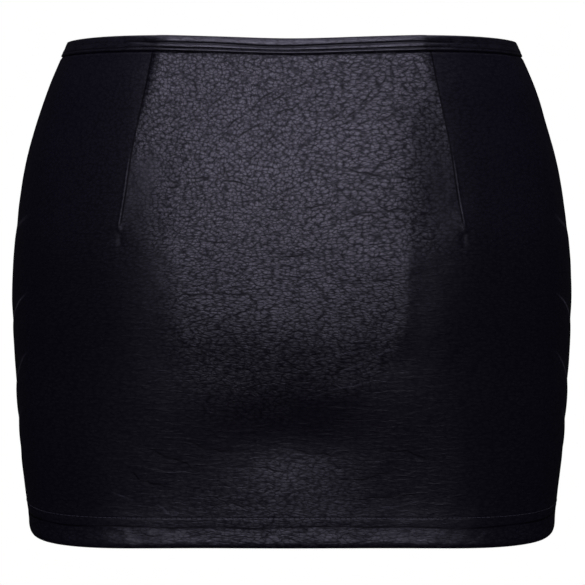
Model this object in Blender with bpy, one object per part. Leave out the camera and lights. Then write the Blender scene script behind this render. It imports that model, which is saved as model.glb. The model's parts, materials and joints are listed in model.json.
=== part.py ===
"""Leather mini skirt, filled out as worn with nobody in it.

Metres, +Z up. The front faces -Y and the wearer's left is +X. The origin is the
middle of the waist opening, level with the top edge at the side seams.

Every cloth piece is a wall swept round the body: a strip of stations, each a
level below the waist edge and a distance off the body's surface, is carried
along columns that are counted from landmark to landmark round the skirt.
"""
import math

import bmesh
import bpy
import numpy as np
from mathutils import Matrix, Vector

MM = 0.001

# Driving sizes ------------------------------------------------------------------
LENGTH = 312 * MM
LEATHER = 1.2 * MM
SEAM_GAP = 0.3 * MM
BINDING_HEIGHT = 9.4 * MM
HEM_TURN_UP = 19.5 * MM
HEM_FOLD = 13.5 * MM
HEM_RAISE = 0.5 * MM
ZIP_LENGTH = 174 * MM

# The filled-out form, in millimetres. half_width is across the hips, centre_y is
# where the widest line runs, front and back are the depths from it, and power is
# 2 for an ellipse and more for a squarer section.
SECTION_COLUMNS = ("drop", "half_width", "centre_y", "front", "back", "front_power", "back_power")
SECTIONS = (
    (0, 142.9, 0, 104.3, 99.0, 2.20, 2.10),
    (12, 148.4, 0, 106.8, 102.5, 2.23, 2.10),
    (26, 154.4, 0, 109.4, 107.0, 2.31, 2.10),
    (46, 161.5, 0, 112.6, 112.0, 2.34, 2.12),
    (66, 167.6, 0, 114.9, 116.0, 2.36, 2.14),
    (86, 172.1, 0, 116.3, 118.8, 2.38, 2.16),
    (110, 175.5, 0, 117.4, 120.6, 2.42, 2.18),
    (136, 178.2, 0, 118.4, 121.0, 2.38, 2.20),
    (162, 179.4, 0, 118.7, 119.8, 2.32, 2.22),
    (200, 178.1, -1, 115.0, 115.6, 2.35, 2.28),
    (240, 175.5, -3, 107.4, 110.8, 2.57, 2.40),
    (272, 172.0, -5, 100.5, 107.6, 2.82, 2.54),
    (296, 169.1, -6, 98.1, 106.2, 2.96, 2.64),
    (312, 167.5, -6, 98.0, 105.8, 3.16, 2.70),
)

# The middle of the front, in millimetres: it falls in a little below the belly and
# stands forward again towards the hem. The level, and how far it stands forward.
FRONT_MIDDLE = ((120, 0.0), (150, 0.0), (190, 0.3), (220, -0.5), (245, -1.5), (270, 1.6), (296, 3.0), (312, 3.4))
FRONT_MIDDLE_WIDTH = 42 * MM

# Darts, in millimetres: where the seam starts and ends below the waist edge, its
# distance from the middle at both ends, and how far the cloth between the two
# darts is drawn flat.
DART_COLUMNS = ("drop_top", "drop_tip", "x_top", "x_tip", "flatten")
FRONT_DART = (0, 117, 85.0, 104.0, 5.6)
BACK_DART = (0, 128, 76.0, 90.0, 3.0)
FLATTEN_POWER = 3
DART_GROOVE = 0.7 * MM
DART_GROOVE_WIDTH = 2.0 * MM
DART_GROOVE_FADE = 30 * MM

# Waist edge: it dips at the middle of the front, rises over the hip bones and a
# little at the back. The places are landmark counts, as for the columns.
WAIST_EDGE = (
    # place, spread, rise
    (0.0, 0.52, -1.9 * MM),
    (1.25, 0.45, 0.9 * MM),
    (4.0, 1.10, 3.0 * MM),
)
WAIST_EDGE_ENDS = 60 * MM

# The hem is drawn up a little at the middle of the front and at the side seams.
HEM_EDGE = (
    (0.0, 0.80, 1.0 * MM),
    (1.25, 0.38, -1.0 * MM),
    (2.0, 0.38, 4.4 * MM),
)
HEM_EDGE_STARTS = 240 * MM

# Pull creases by the side seams, in millimetres: soft troughs. The level at the
# seam, how far they reach from it, how far they rise on the way, depth, half width.
# They fade in over the first part of their reach, and out from the middle of it.
CREASE_FADES_IN = 0.35
CREASE_FADES_OUT = 0.6
SIDE_CREASES = (
    # drop, reach, rise, depth, half_width
    (182, 46, 23, 0.6, 6.0),
    (225, 44, 28, 0.7, 6.5),
    (251, 34, 19, 0.6, 5.5),
    (271, 28, 14, 0.4, 5.0),
)

# The slit at the centre back, in millimetres: the level and half its width. It is
# held open where the zip's slider stands in it.
SLIT = ((0, 0.5), (11, 1.0), (24, 1.0), (42, 0.15))

# Columns: (landmark count, distance past it along the surface). The landmarks are
# 0 centre front, 1 front dart, 2 side seam, 3 back dart, 4 centre back.
GROOVE_SIDE = 3 * MM
FRONT_HALF = (
    [(part, 0) for part in (0, 0.17, 0.34, 0.51, 0.68, 0.84)]
    + [(1, -GROOVE_SIDE), (1, 0), (1, GROOVE_SIDE)]
    + [(part, 0) for part in (1.14, 1.28, 1.42, 1.55, 1.67, 1.77, 1.86, 1.94)]
    + [(2, -SEAM_GAP / 2)]
)
BACK_HALF = (
    [(2, SEAM_GAP / 2)]
    + [(part, 0) for part in (2.07, 2.16, 2.27, 2.40, 2.54, 2.69, 2.84)]
    + [(3, -GROOVE_SIDE), (3, 0), (3, GROOVE_SIDE)]
    + [(part, 0) for part in (3.17, 3.35, 3.53, 3.72)]
    + [(4, -12 * MM), (4, -6 * MM), (4, 0)]
)
BODY_DROPS = (24, 38, 52, 66, 80, 93, 106, 117, 130, 144, 158, 172, 186, 199, 212, 225, 238, 251, 264, 278)

# Zip ----------------------------------------------------------------------------
TAPE_WIDTH = 11.5 * MM
TAPE_MIDDLE = 6 * MM
TAPE_THICKNESS = 0.6 * MM
TAPE_TOP = 12 * MM
SLIDER_DROP = 17 * MM
SLIDER_BODY = (7.6 * MM, 2.8 * MM, 9.0 * MM)
SLIDER_NECK = (1.1 * MM, 3.6 * MM, 3.6 * MM)
LUG_PLATE = (4.8 * MM, 0.5 * MM, 4.0 * MM)
LUG_CHEEK = (0.8 * MM, 3.6 * MM, 3.2 * MM)
PIN_RADIUS = 0.6 * MM
PIN_STANDOFF = 3.0 * MM
EYE_RADIUS = 1.7 * MM
EYE_HOLE = 0.95 * MM
EYE_WIDTH = 2.6 * MM
PULL_THICKNESS = 1.1 * MM
STOP_SIZE = (5.0 * MM, 1.6 * MM, 3.0 * MM)
STOP_ABOVE_END = 5 * MM

SURFACE_STEP = 0.2 * MM
SHARP_ANGLE = math.radians(40)

LEATHER_BLACK = ((0.012, 0.011, 0.017, 1), 0.42, 0.0)
TAPE_BLACK = ((0.010, 0.010, 0.011, 1), 0.85, 0.0)
METAL_BLACK = ((0.020, 0.020, 0.022, 1), 0.35, 0.6)


def bell(distance):
    """A soft hump, 1 at no distance."""
    return np.exp(-distance ** 2)


def ease(part):
    """Goes from 0 to 1 with a level start and end."""
    part = np.clip(part, 0, 1)
    return part * part * (3 - 2 * part)


def smooth_through(knots, values, at):
    """A natural cubic curve through a table's values."""
    step = np.diff(knots)
    rise = np.diff(values) / step
    system = np.eye(len(knots))
    load = np.zeros(len(knots))
    for row in range(1, len(knots) - 1):
        system[row, row - 1:row + 2] = (step[row - 1], 2 * (step[row - 1] + step[row]), step[row])
        load[row] = 6 * (rise[row] - rise[row - 1])
    bend = np.linalg.solve(system, load)
    here = int(np.clip(np.searchsorted(knots, at) - 1, 0, len(knots) - 2))
    past = at - knots[here]
    slope = rise[here] - step[here] * (2 * bend[here] + bend[here + 1]) / 6
    twist = (bend[here + 1] - bend[here]) / (6 * step[here])
    return values[here] + past * (slope + past * (bend[here] / 2 + past * twist))


def section(drop):
    """The named sizes of the body's section at one level, in metres."""
    table = np.array(SECTIONS, dtype=float)
    sizes = {}
    for column, name in enumerate(SECTION_COLUMNS[1:], start=1):
        value = smooth_through(table[:, 0], table[:, column], drop / MM)
        sizes[name] = value if name.endswith("power") else value * MM
    return sizes


def dart_at(dart, drop):
    """Where a dart's seam, or the line below its tip, runs, and the flattening there."""
    sizes = dict(zip(DART_COLUMNS, dart))
    part = (drop / MM - sizes["drop_top"]) / (sizes["drop_tip"] - sizes["drop_top"])
    x = sizes["x_top"] + (sizes["x_tip"] - sizes["x_top"]) * min(part, 1.0)
    return x * MM, sizes["flatten"] * MM * float(1 - ease(part))


def front_middle(drop):
    """How far the middle of the front stands forward at one level."""
    levels, forward = np.array(FRONT_MIDDLE, dtype=float).T
    return smooth_through(levels, forward, max(drop / MM, levels[0])) * MM


def half_outline(drop):
    """One level from centre front to centre back round the wearer's left side.

    Returns x, y, the length along the outline, and the lengths at the landmarks.
    """
    sizes = section(drop)
    angle = np.linspace(0, math.pi, 1601)
    in_front = angle < math.pi / 2
    depth = np.where(in_front, sizes["front"], sizes["back"])
    power = np.where(in_front, sizes["front_power"], sizes["back_power"])
    across = np.abs(np.sin(angle)) / sizes["half_width"]
    along = np.abs(np.cos(angle)) / depth
    radius = (across ** power + along ** power) ** (-1 / power)
    x = radius * np.sin(angle)
    y = -radius * np.cos(angle)
    darts = (dart_at(FRONT_DART, drop), dart_at(BACK_DART, drop))
    for front, (dart_x, flatten) in zip((True, False), darts):
        between = (x < dart_x) & (in_front == front)
        pull = flatten * (1 - (x / dart_x) ** FLATTEN_POWER)
        y = np.where(between, y + (pull if front else -pull), y)
    y = np.where(in_front, y - front_middle(drop) * bell(x / FRONT_MIDDLE_WIDTH), y)
    run = np.concatenate(([0], np.cumsum(np.hypot(np.diff(x), np.diff(y)))))
    side = int(np.argmax(x))
    slit = np.interp(drop / MM, [level for level, _ in SLIT], [half for _, half in SLIT]) * MM
    landmarks = (
        0.0,
        float(np.interp(darts[0][0], x[:side + 1], run[:side + 1])),
        float(np.interp(math.pi / 2, angle, run)),
        float(np.interp(-darts[1][0], -x[side:], run[side:])),
        float(run[-1]) - slit,
    )
    return x, y + sizes["centre_y"], run, landmarks


def edge_rise(shape, place):
    """How far an edge stands above its level at each place round the skirt."""
    return sum(rise * bell((place - where) / spread) for where, spread, rise in shape)


def body_points(drops, columns, side, nudge=0.0):
    """Points of the body's surface, a row for each level and a column for each place."""
    place = np.array([column[0] for column in columns], dtype=float)
    shift = np.array([column[1] for column in columns], dtype=float) + nudge
    rows = []
    for drop in drops:
        x, y, run, landmarks = half_outline(drop)
        at = np.interp(place, range(5), landmarks) + shift
        lift = edge_rise(WAIST_EDGE, place) * (1 - ease(drop / WAIST_EDGE_ENDS))
        lift += edge_rise(HEM_EDGE, place) * ease((drop - HEM_EDGE_STARTS) / (LENGTH - HEM_EDGE_STARTS))
        rows.append(np.stack([side * np.interp(at, run, x), np.interp(at, run, y), lift - drop], axis=1))
    return np.array(rows)


def relief(drops, columns):
    """Height of the dart grooves and side creases above the body's surface."""
    height = np.zeros((len(drops), len(columns)))
    for row, drop in enumerate(drops):
        landmarks = half_outline(drop)[3]
        for column, (place, shift) in enumerate(columns):
            at = np.interp(place, range(5), landmarks) + shift
            for mark, dart in ((1, FRONT_DART), (3, BACK_DART)):
                depth = DART_GROOVE * ease((dart[1] * MM - drop) / DART_GROOVE_FADE)
                height[row, column] -= depth * bell((at - landmarks[mark]) / DART_GROOVE_WIDTH)
            from_seam = abs(at - landmarks[2])
            for level, reach, rise, depth, half_width in SIDE_CREASES:
                along = from_seam / (reach * MM)
                line = (level - rise * along) * MM
                fade = ease(along / CREASE_FADES_IN) * (1 - ease((along - CREASE_FADES_OUT) / CREASE_FADES_OUT))
                height[row, column] -= depth * MM * fade * bell((drop - line) / (half_width * MM))
    return height


def cloth(drops, outs, columns, side):
    """Points that stand off the body's surface, with its grooves and creases."""
    step = SURFACE_STEP
    points = body_points(drops, columns, side)
    down = body_points(np.array(drops) + step, columns, side) - body_points(np.array(drops) - step, columns, side)
    along = body_points(drops, columns, side, step) - body_points(drops, columns, side, -step)
    outward = np.cross(down, side * along)
    outward /= np.linalg.norm(outward, axis=2, keepdims=True)
    off = np.array(outs)[:, None] + relief(drops, columns)
    return points + outward * off[:, :, None]


def around(drops, outs, left=None, right=None):
    """Rows of points, from the wearer's right side round the front to the left.

    right holds the columns on the wearer's right, left those on the wearer's left,
    and both are given from the front to the back.
    """
    parts = []
    if right is not None:
        parts.append(cloth(drops, outs, right, -1)[:, ::-1])
    if left is not None:
        parts.append(cloth(drops, outs, left, 1))
    return np.concatenate(parts, axis=1)


def principled(name, look):
    """A plain Principled material: colour, roughness and metallic value."""
    colour, roughness, metallic = look
    material = bpy.data.materials.new(name)
    material.use_nodes = True
    shader = material.node_tree.nodes["Principled BSDF"]
    shader.inputs["Base Color"].default_value = colour
    shader.inputs["Roughness"].default_value = roughness
    shader.inputs["Metallic"].default_value = metallic
    return material


def add_object(name, mesh, material):
    """Put a finished mesh in the scene under its sub-part's name."""
    piece = bpy.data.objects.new(name, mesh)
    bpy.context.scene.collection.objects.link(piece)
    mesh.materials.append(material)
    return piece


def wall(name, outer, inner, material):
    """A closed wall between two grids of points that match row for row."""
    rows, columns = outer.shape[:2]
    work = bmesh.new()
    outside, inside = ([[work.verts.new(point) for point in row] for row in grid] for grid in (outer, inner))
    for row in range(rows - 1):
        for column in range(columns - 1):
            ring = ((row, column), (row + 1, column), (row + 1, column + 1), (row, column + 1))
            work.faces.new([outside[i][j] for i, j in ring])
            work.faces.new([inside[i][j] for i, j in reversed(ring)])
    for row in range(rows - 1):
        for column, flip in ((0, False), (columns - 1, True)):
            edge = [inside[row][column], inside[row + 1][column], outside[row + 1][column], outside[row][column]]
            work.faces.new(edge[::-1] if flip else edge)
    for column in range(columns - 1):
        for row, flip in ((0, True), (rows - 1, False)):
            edge = [inside[row][column], inside[row][column + 1], outside[row][column + 1], outside[row][column]]
            work.faces.new(edge[::-1] if flip else edge)
    bmesh.ops.triangulate(work, faces=work.faces)
    mesh = bpy.data.meshes.new(name)
    work.to_mesh(mesh)
    work.free()
    mesh.shade_smooth()
    mesh.set_sharp_from_angle(angle=SHARP_ANGLE)
    return add_object(name, mesh, material)


def strip_wall(name, strip, material, left=None, right=None):
    """Sweep a strip of stations (outer drop, outer out, inner drop, inner out)."""
    outer_drop, outer_out, inner_drop, inner_out = zip(*strip)
    outer = around(outer_drop, outer_out, left, right)
    inner = around(inner_drop, inner_out, left, right)
    return wall(name, outer, inner, material)


def panel_strip():
    """Stations of a body panel: tucked under the binding, then down to the hem."""
    tuck = -1.0 * MM
    turned = LEATHER * 2 + 0.1 * MM
    fold = LENGTH - HEM_FOLD
    top_of_hem = LENGTH - HEM_TURN_UP
    stations = [(drop, tuck, drop, tuck - LEATHER) for drop in (1.5 * MM, 9.6 * MM)]
    stations += [(drop, 0, drop, -LEATHER) for drop in (10.3 * MM, *(level * MM for level in BODY_DROPS))]
    stations += [(top_of_hem - 0.2 * MM, 0, top_of_hem - 0.2 * MM, -LEATHER)]
    stations += [(top_of_hem + 0.2 * MM, 0, top_of_hem + 0.2 * MM, -turned)]
    for below_fold, out, inside in ((0, -0.4, 0), (3.4, 1, 0), (9, 0.8, 0), (12.3, 0.2, 0), (13.5, -1.6, 0.7)):
        drop = fold + below_fold * MM
        stations.append((drop, out * HEM_RAISE, drop, inside * MM - turned))
    return stations


def binding_strip():
    """Stations of the folded binding, from its inner edge over the top to its outer edge."""
    inner_face = -2.5 * MM
    outer_face = -0.7 * MM
    under_top = 1.2 * MM
    high = BINDING_HEIGHT
    return [
        (high, -3.5 * MM, high, inner_face),
        (0.9 * MM, -3.5 * MM, under_top, inner_face),
        (0, -2.6 * MM, under_top, inner_face + 0.4 * MM),
        (0, -0.4 * MM, under_top, outer_face - 0.4 * MM),
        (0.9 * MM, 0.7 * MM, under_top, outer_face),
        (high * 0.34, 0.8 * MM, high * 0.34, outer_face),
        (high * 0.48, 0.1 * MM, high * 0.48, outer_face),
        (high * 0.62, 0.8 * MM, high * 0.62, outer_face),
        (high * 0.76, 0.5 * MM, high * 0.76, outer_face),
        (high * 0.83, 0.1 * MM, high * 0.83, outer_face),
        (high * 0.90, 0.6 * MM, high * 0.90, outer_face),
        (high, 0.45 * MM, high, outer_face),
    ]


def build_front(leather):
    """One front panel with a dart each side, its hem turned up inside."""
    strip_wall("front_panel", panel_strip(), leather, left=FRONT_HALF[1:], right=FRONT_HALF)


def build_backs(leather):
    """Two back panels with a dart each, which meet at the centre-back zip and seam."""
    strip_wall("back_panel_left", panel_strip(), leather, left=BACK_HALF)
    strip_wall("back_panel_right", panel_strip(), leather, right=BACK_HALF)


def build_binding(leather):
    """A narrow leather strip folded over the waist edge, open at the zip."""
    half = FRONT_HALF[1:-1] + [(2, 0)] + BACK_HALF[1:]
    strip_wall("waist_binding", binding_strip(), leather, left=half, right=[(0, 0)] + half)


def build_tapes(fabric):
    """Two zip tapes that lie inside the back panels, one beside the other."""
    outer = -LEATHER - SEAM_GAP
    end = TAPE_TOP + ZIP_LENGTH
    levels = [TAPE_TOP] + [level * MM for level in BODY_DROPS if level * MM < end - TAPE_MIDDLE] + [end]
    strip = [(drop, outer, drop, outer - TAPE_THICKNESS) for drop in levels]
    columns = [(4, -TAPE_WIDTH), (4, -TAPE_MIDDLE), (4, 0)]
    strip_wall("zip_tape_left", strip, fabric, left=columns)
    strip_wall("zip_tape_right", strip, fabric, right=columns)


def back_frame(drop):
    """Place on the centre back: X across, Y outward off the cloth, Z up along it."""
    low, here, high = (body_points([level], [(4, 0)], 1)[0, 0] for level in (drop + 2 * MM, drop, drop - 2 * MM))
    up = Vector((0, high[1] - low[1], high[2] - low[2])).normalized()
    out = Vector((0, up.z, -up.y))
    frame = Matrix((Vector((1, 0, 0)), out, up)).transposed().to_4x4()
    frame.translation = Vector((0, here[1], here[2]))
    return frame


def block(name, size, centre, bevel=0.0):
    """A box, bevelled on all its edges, in the zip's own frame."""
    mesh = bpy.data.meshes.new(name)
    work = bmesh.new()
    bmesh.ops.create_cube(work, size=1)
    bmesh.ops.scale(work, vec=size, verts=work.verts)
    bmesh.ops.translate(work, vec=centre, verts=work.verts)
    if bevel:
        bmesh.ops.bevel(work, geom=work.edges[:], offset=bevel, segments=2, profile=0.5, affect="EDGES")
    work.to_mesh(mesh)
    work.free()
    return mesh


def rod(name, radius, length, centre, sides=20):
    """A round bar along X in the zip's own frame."""
    mesh = bpy.data.meshes.new(name)
    work = bmesh.new()
    bmesh.ops.create_cone(work, cap_ends=True, segments=sides, radius1=radius, radius2=radius, depth=length)
    bmesh.ops.rotate(work, matrix=Matrix.Rotation(math.pi / 2, 3, "Y"), verts=work.verts)
    bmesh.ops.translate(work, vec=centre, verts=work.verts)
    work.to_mesh(mesh)
    work.free()
    return mesh


def cut_or_join(piece, mesh, operation, material):
    """Add a shape to a piece, or take it away, with a hidden helper object."""
    helper = add_object(f"helper_{piece.name}_{len(piece.modifiers)}", mesh, material)
    helper.matrix_world = piece.matrix_world
    helper.hide_render = True
    helper.display_type = "WIRE"
    modifier = piece.modifiers.new(operation.lower(), "BOOLEAN")
    modifier.operation = operation
    modifier.solver = "EXACT"
    modifier.object = helper


def build_slider(metal):
    """The slider: a body inside, a neck through the slit and a lug with its pin outside."""
    behind = -LEATHER - SEAM_GAP - TAPE_THICKNESS - SEAM_GAP
    body = block("zip_slider", SLIDER_BODY, (0, behind - SLIDER_BODY[1] / 2, 0), 0.7 * MM)
    slider = add_object("zip_slider", body, metal)
    slider.matrix_world = back_frame(SLIDER_DROP)
    plate_out = SEAM_GAP + LUG_PLATE[1] / 2
    cut_or_join(slider, block("neck", SLIDER_NECK, (0, behind - 0.4 * MM + SLIDER_NECK[1] / 2, 0)), "UNION", metal)
    cut_or_join(slider, block("plate", LUG_PLATE, (0, plate_out, 0), 0.12 * MM), "UNION", metal)
    cheek_x = EYE_WIDTH / 2 + SEAM_GAP + LUG_CHEEK[0] / 2
    for side in (-1, 1):
        cheek = block("cheek", LUG_CHEEK, (side * cheek_x, plate_out + LUG_CHEEK[1] / 2, 0), 0.2 * MM)
        cut_or_join(slider, cheek, "UNION", metal)
    pin_length = 2 * cheek_x + LUG_CHEEK[0] / 2
    cut_or_join(slider, rod("pin", PIN_RADIUS, pin_length, (0, PIN_STANDOFF, 0), 12), "UNION", metal)


def pull_outline():
    """Half width of the teardrop tab at each distance below its eye, in millimetres."""
    drop_and_half = ((0.0, 1.1), (4.0, 1.15), (7.0, 1.45), (11.0, 2.1), (15.0, 2.55), (18.0, 2.6))
    points = [(half * MM, -drop * MM) for drop, half in drop_and_half]
    round_end = 2.6 * MM
    for step in range(1, 6):
        turn = step * math.pi / 2 / 5
        points.append((round_end * math.cos(turn), -18 * MM - round_end * math.sin(turn)))
    return points + [(-x, z) for x, z in reversed(points[:-1])]


def build_pull(metal):
    """The pull tab, hung on the slider's pin: its origin is on the hinge axis."""
    mesh = bpy.data.meshes.new("zip_pull")
    work = bmesh.new()
    ring = [work.verts.new((x, -PULL_THICKNESS / 2, z)) for x, z in pull_outline()]
    face = work.faces.new(ring)
    raised = bmesh.ops.extrude_face_region(work, geom=[face])
    moved = [item for item in raised["geom"] if isinstance(item, bmesh.types.BMVert)]
    bmesh.ops.translate(work, vec=(0, PULL_THICKNESS, 0), verts=moved)
    bmesh.ops.recalc_face_normals(work, faces=work.faces)
    work.to_mesh(mesh)
    work.free()
    pull = add_object("zip_pull", mesh, metal)
    frame = back_frame(SLIDER_DROP)
    frame.translation = frame @ Vector((0, PIN_STANDOFF, 0))
    pull.matrix_world = frame
    cut_or_join(pull, rod("eye", EYE_RADIUS, EYE_WIDTH, (0, 0, 0)), "UNION", metal)
    cut_or_join(pull, rod("eye_hole", EYE_HOLE, EYE_WIDTH * 2, (0, 0, 0), 16), "DIFFERENCE", metal)


def build_stop(metal):
    """The bottom stop, clamped over both tapes at the end of the zip."""
    behind = -LEATHER - SEAM_GAP - TAPE_THICKNESS - SEAM_GAP
    stop = block("zip_bottom_stop", STOP_SIZE, (0, behind - STOP_SIZE[1] / 2, 0), 0.3 * MM)
    add_object("zip_bottom_stop", stop, metal).matrix_world = back_frame(TAPE_TOP + ZIP_LENGTH - STOP_ABOVE_END)


for leftover in list(bpy.data.objects):
    bpy.data.objects.remove(leftover)

leather = principled("leather", LEATHER_BLACK)
fabric = principled("zip_tape", TAPE_BLACK)
metal = principled("zip_metal", METAL_BLACK)
build_front(leather)
build_backs(leather)
build_binding(leather)
build_tapes(fabric)
build_slider(metal)
build_pull(metal)
build_stop(metal)
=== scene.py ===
import json
import math

import bmesh
import bpy
import numpy as np
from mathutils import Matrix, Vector

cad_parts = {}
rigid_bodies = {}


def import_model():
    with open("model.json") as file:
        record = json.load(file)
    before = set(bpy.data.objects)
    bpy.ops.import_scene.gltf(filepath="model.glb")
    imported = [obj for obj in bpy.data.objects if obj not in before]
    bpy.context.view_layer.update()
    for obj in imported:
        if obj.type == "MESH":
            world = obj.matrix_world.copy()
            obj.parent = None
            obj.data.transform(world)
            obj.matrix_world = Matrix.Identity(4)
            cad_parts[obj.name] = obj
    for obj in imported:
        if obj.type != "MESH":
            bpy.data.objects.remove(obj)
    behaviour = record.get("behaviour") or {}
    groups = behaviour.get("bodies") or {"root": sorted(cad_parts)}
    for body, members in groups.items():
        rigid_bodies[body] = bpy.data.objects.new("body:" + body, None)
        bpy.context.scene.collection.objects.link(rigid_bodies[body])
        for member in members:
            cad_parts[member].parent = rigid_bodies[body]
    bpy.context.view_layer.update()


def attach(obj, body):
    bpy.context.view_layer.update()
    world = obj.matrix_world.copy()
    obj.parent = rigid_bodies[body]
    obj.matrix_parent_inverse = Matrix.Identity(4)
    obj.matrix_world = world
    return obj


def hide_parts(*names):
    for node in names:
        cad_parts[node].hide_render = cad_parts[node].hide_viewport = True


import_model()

# Front panel ---------------------------------------------------------------------
# The front of the skirt, one piece of pebble-grained black leather, flesh side in.
# It is shaped by a sewn dart each side and its hem is turned up 19 mm inside,
# glued and topstitched; only its top edge is held, under the waist binding.

# Lengths are in millimetres, and levels are measured down from the waist edge. Left
# and right are the wearer's: a side of 1 is the left half, which lies towards +X.
MM = 0.001
LENGTH = 312.0
LEATHER = 1.2
# The hem's band lies between a line of stitches and the edge. From the stitches to a
# crease below them the leather sinks, and from there to the edge it comes up again.
HEM_TURN_UP = 19.5
HEM_STITCH = 18.5
HEM_CREASE = 12.9
HEM_SINK = 0.2
HEM_RAISE = -0.05

# The filled-out form, level by level.
SECTION_COLUMNS = ("drop", "half_width", "centre_y", "front", "back", "front_power", "back_power")
SECTIONS = np.array((
    (0, 142.9, 0, 104.3, 99.0, 2.20, 2.10),
    (12, 148.4, 0, 106.8, 102.5, 2.23, 2.10),
    (26, 154.4, 0, 109.4, 107.0, 2.31, 2.10),
    (46, 161.5, 0, 112.6, 112.0, 2.34, 2.12),
    (66, 167.6, 0, 114.9, 116.0, 2.36, 2.14),
    (86, 172.1, 0, 116.3, 118.8, 2.38, 2.16),
    (110, 175.5, 0, 117.4, 120.6, 2.42, 2.18),
    (136, 178.2, 0, 118.4, 121.0, 2.38, 2.20),
    (162, 179.4, 0, 118.7, 119.8, 2.32, 2.22),
    (200, 178.1, -1, 115.0, 115.6, 2.35, 2.28),
    (240, 175.5, -3, 107.4, 110.8, 2.57, 2.40),
    (272, 172.0, -5, 100.5, 107.6, 2.82, 2.54),
    (296, 169.1, -6, 98.1, 106.2, 2.96, 2.64),
    (312, 167.5, -6, 98.0, 105.8, 3.16, 2.70),
))
# How far the middle of the front stands forward at each level, and how wide it is.
FRONT_MIDDLE = np.array((
    (120, 0.0), (150, 0.0), (190, 0.3), (220, -0.5), (245, -1.5), (270, 1.6), (296, 3.0), (312, 3.4),
))
FRONT_MIDDLE_WIDTH = 42
# Each dart's ends, how far its seam bows out, and how much it flattens the body.
DART_COLUMNS = ("drop_top", "drop_tip", "x_top", "x_tip", "bow", "flatten")
FRONT_DART = dict(zip(DART_COLUMNS, (0, 117, 82.8, 104.0, 1.2, 5.6)))
BACK_DART = dict(zip(DART_COLUMNS, (0, 128, 76.0, 90.0, 0.0, 3.0)))
DART_BOW = {"middle": 0.56, "spread": 0.21}
FLATTEN_POWER = 3
# How the leather turns in beside a dart, on the right (-1) and on the left (1): the
# turn, how far it spreads, the level from which it fades and over what length.
DART_TURNS = (
    {-1: (0.06, 26, 35, 40), 1: (0.06, 26, 15, 40)},
    {-1: (-0.495, 7.0, 20, 45), 1: (-0.33, 7.0, 5, 45)},
)
# Lower down, a broad ridge and a turn beside it; then the lip along the seam, the
# knot at its tip, the dimple below that, and the puckers on both sides of the seam.
DART_RIDGE = {"rise": 0.4, "reach": 24, "turn": 0.06, "spread": 19, "from": 40, "past_tip": 12}
DART_LIP = {"rise": 0.20, "off": 1.5, "half_width": 0.55, "from": 66}
DART_KNOT = {"rise": 0.40, "off": 0.6, "half_width": 1.5}
DART_DIMPLE = {"depth": 0.35, "half_width": 2.2, "below_tip": 6, "half_length": 5}
PUCKER_COLUMNS = ("rise", "off", "half_width", "from", "past_tip", "fade", "pitch")
INNER_PUCKERS = dict(zip(PUCKER_COLUMNS, (0.10, -7, 5.5, 55, 6, 25, 3.7)))
OUTER_PUCKERS = dict(zip(PUCKER_COLUMNS, (0.12, 7, 4, 75, 14, 20, 5.6)))
# Beside the left dart the leather sags a little.
LEFT_SAG = {"across": 70, "width": 24, "depth": 0.6, "from": 30, "to": 125}
# A soft fold runs down beside the belly and curves in under it, fainter on the right.
BELLY = {"half_width": 70, "top": 120, "length": 98}
BELLY_FOLD = {"rise": 1.1, "inside": 15, "outside": 8, "round": 2.5, "right_share": 0.4}

# Edges: landmark count round the skirt (0 centre front, 1 front dart, 2 side seam,
# 3 back dart, 4 centre back), how far the rise spreads, and the rise.
WAIST_EDGE = ((0.0, 0.52, -1.9), (1.25, 0.45, 0.9), (4.0, 1.10, 3.0))
WAIST_EDGE_ENDS = 60
HEM_EDGE = ((0.0, 0.80, 1.0), (1.25, 0.38, -1.0), (2.0, 0.38, 4.4))
HEM_EDGE_STARTS = 240
# Half the width of the slit at the centre back, at some levels.
SLIT = ((0, 0.5), (11, 1.0), (24, 1.0), (42, 0.0))

# Pull creases by the side seams: level at the seam, how far they reach and rise from it, depth, half width,
# and the width and the strength of the painted highlight along the ridge below each. Those of the back start
# higher, with weaker painted highlight.
SIDE_CREASES = (
    (122, 44, 14, 0.4, 6.0, 2.4, 0.25),
    (182, 46, 23, 0.6, 6.0, 1.3, 0.65),
    (225, 44, 28, 0.7, 6.5, 1.3, 0.55),
    (251, 34, 19, 0.6, 5.5, 2.4, 0.35),
    (271, 28, 14, 0.4, 5.0, 2.2, 0.28),
)
BACK_RIDGE_PAINTED_HIGHLIGHT = 0.25

# A wrinkle's line is plain in full from this depth on; its trough has a share of it.
PLAIN_WRINKLE = 0.12
WRINKLE_SHARE = 0.6
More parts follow.
